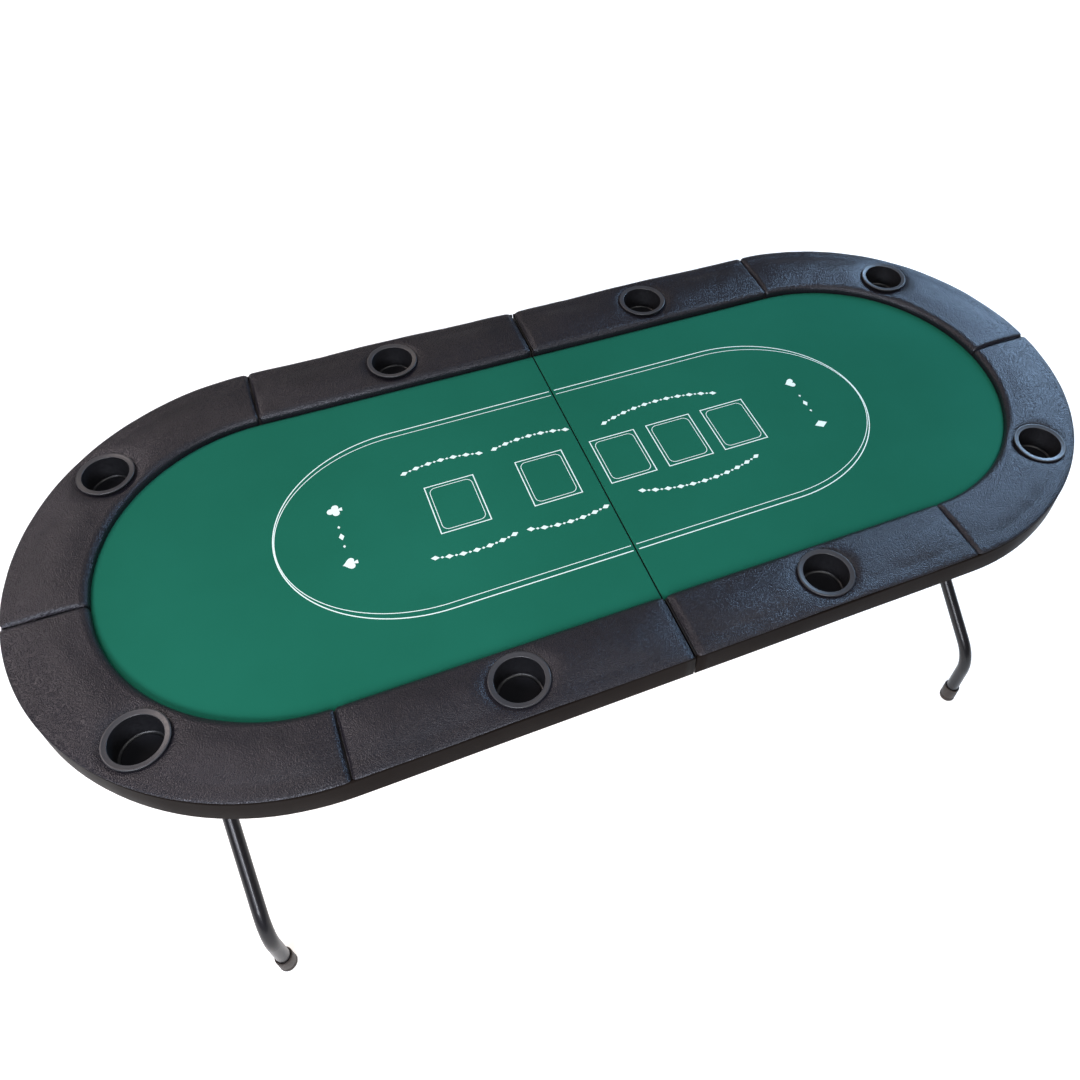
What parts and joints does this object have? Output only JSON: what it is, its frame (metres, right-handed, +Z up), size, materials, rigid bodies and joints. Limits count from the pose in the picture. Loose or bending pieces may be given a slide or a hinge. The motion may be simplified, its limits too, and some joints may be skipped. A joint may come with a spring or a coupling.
{
  "type": "folding poker table",
  "caption": "Folding oval card table with a padded rail, sunk cup holders, printed cloth top, centre fold hinge and crossed tube legs that fold flat under each half.",
  "frame": {"origin": "on the floor under the middle of the open table", "axes": "+Z up; +X along the table's length, across the fold, towards half b; +Y to the far long side"},
  "size_m": [2.08, 0.94, 0.768],
  "materials": {
    "leather": "grained, satin",
    "skirt_vinyl": "smooth, satin",
    "cloth": "matte short nap",
    "cup_plastic": "satin moulded",
    "plastic": "matte moulded",
    "wood": "raw plywood and pine",
    "black_steel": "glossy powder coat",
    "zinc": "zinc plated",
    "rubber": "matte"
  },
  "bodies": {
    "half_a": {"board_a": "wood", "rail_core_a": "wood", "skirt_a": "skirt_vinyl", "felt_a": "cloth", "pad_near_straight_a": "leather", "pad_near_end_a": "leather", "pad_far_end_a": "leather", "pad_far_straight_a": "leather", "cup_near_straight_a": "cup_plastic", "cup_near_end_a": "cup_plastic", "cup_far_end_a": "cup_plastic", "cup_far_straight_a": "cup_plastic", "edge_rail_a": "wood", "fold_rail_a": "wood", "cross_rails_a": "wood", "leg_saddles_a": "plastic", "stay_guide_a": "black_steel", "hinge_leaf_a": "zinc", "screws_a": "zinc"},
    "leg_a": {"pivot_bar_a": "black_steel", "leg_tube_long_a": "black_steel", "leg_tube_cut_a": "black_steel", "leg_hub_a": "black_steel", "feet_a": "rubber"},
    "stay_a": {"stay_bar_a": "black_steel"},
    "spine": {"spine_plate": "zinc", "hinge_pin_a": "zinc", "hinge_pin_b": "zinc"},
    "half_b": {"board_b": "wood", "rail_core_b": "wood", "skirt_b": "skirt_vinyl", "felt_b": "cloth", "pad_near_straight_b": "leather", "pad_near_end_b": "leather", "pad_far_end_b": "leather", "pad_far_straight_b": "leather", "cup_near_straight_b": "cup_plastic", "cup_near_end_b": "cup_plastic", "cup_far_end_b": "cup_plastic", "cup_far_straight_b": "cup_plastic", "edge_rail_b": "wood", "fold_rail_b": "wood", "cross_rails_b": "wood", "leg_saddles_b": "plastic", "stay_guide_b": "black_steel", "hinge_leaf_b": "zinc", "screws_b": "zinc"},
    "leg_b": {"pivot_bar_b": "black_steel", "leg_tube_long_b": "black_steel", "leg_tube_cut_b": "black_steel", "leg_hub_b": "black_steel", "feet_b": "rubber"},
    "stay_b": {"stay_bar_b": "black_steel"}
  },
  "joints": [
    {"name": "fold_a", "type": "hinge", "parent": "half_a", "child": "spine", "pos_m": [-0.03, 0, 0.703], "axis": [0, 1, 0], "range_deg": [0, 90]},
    {"name": "fold_b", "type": "hinge", "parent": "spine", "child": "half_b", "pos_m": [0.03, 0, 0.703], "axis": [0, 1, 0], "range_deg": [0, 90]},
    {"name": "leg_fold_a", "type": "hinge", "parent": "half_a", "child": "leg_a", "pos_m": [-0.835, 0, 0.696], "axis": [0, -1, 0], "range_deg": [0, 86.8]},
    {"name": "stay_swing_a", "type": "hinge", "parent": "leg_a", "child": "stay_a", "pos_m": [-0.79634, 0, 0.45905], "axis": [0, 1, 0], "range_deg": [0, 134.4]},
    {"name": "leg_fold_b", "type": "hinge", "parent": "half_b", "child": "leg_b", "pos_m": [0.835, 0, 0.696], "axis": [0, 1, 0], "range_deg": [0, 86.8]},
    {"name": "stay_swing_b", "type": "hinge", "parent": "leg_b", "child": "stay_b", "pos_m": [0.79634, 0, 0.45905], "axis": [0, -1, 0], "range_deg": [0, 134.4]}
  ],
  "couplings": [
    {"joint": "leg_fold_a", "follows": "fold_b", "ratio": 0.9635},
    {"joint": "leg_fold_b", "follows": "fold_b", "ratio": 0.9635},
    {"joint": "stay_swing_a", "follows": "fold_b", "ratio": 1.4927},
    {"joint": "stay_swing_b", "follows": "fold_b", "ratio": 1.4927}
  ]
}
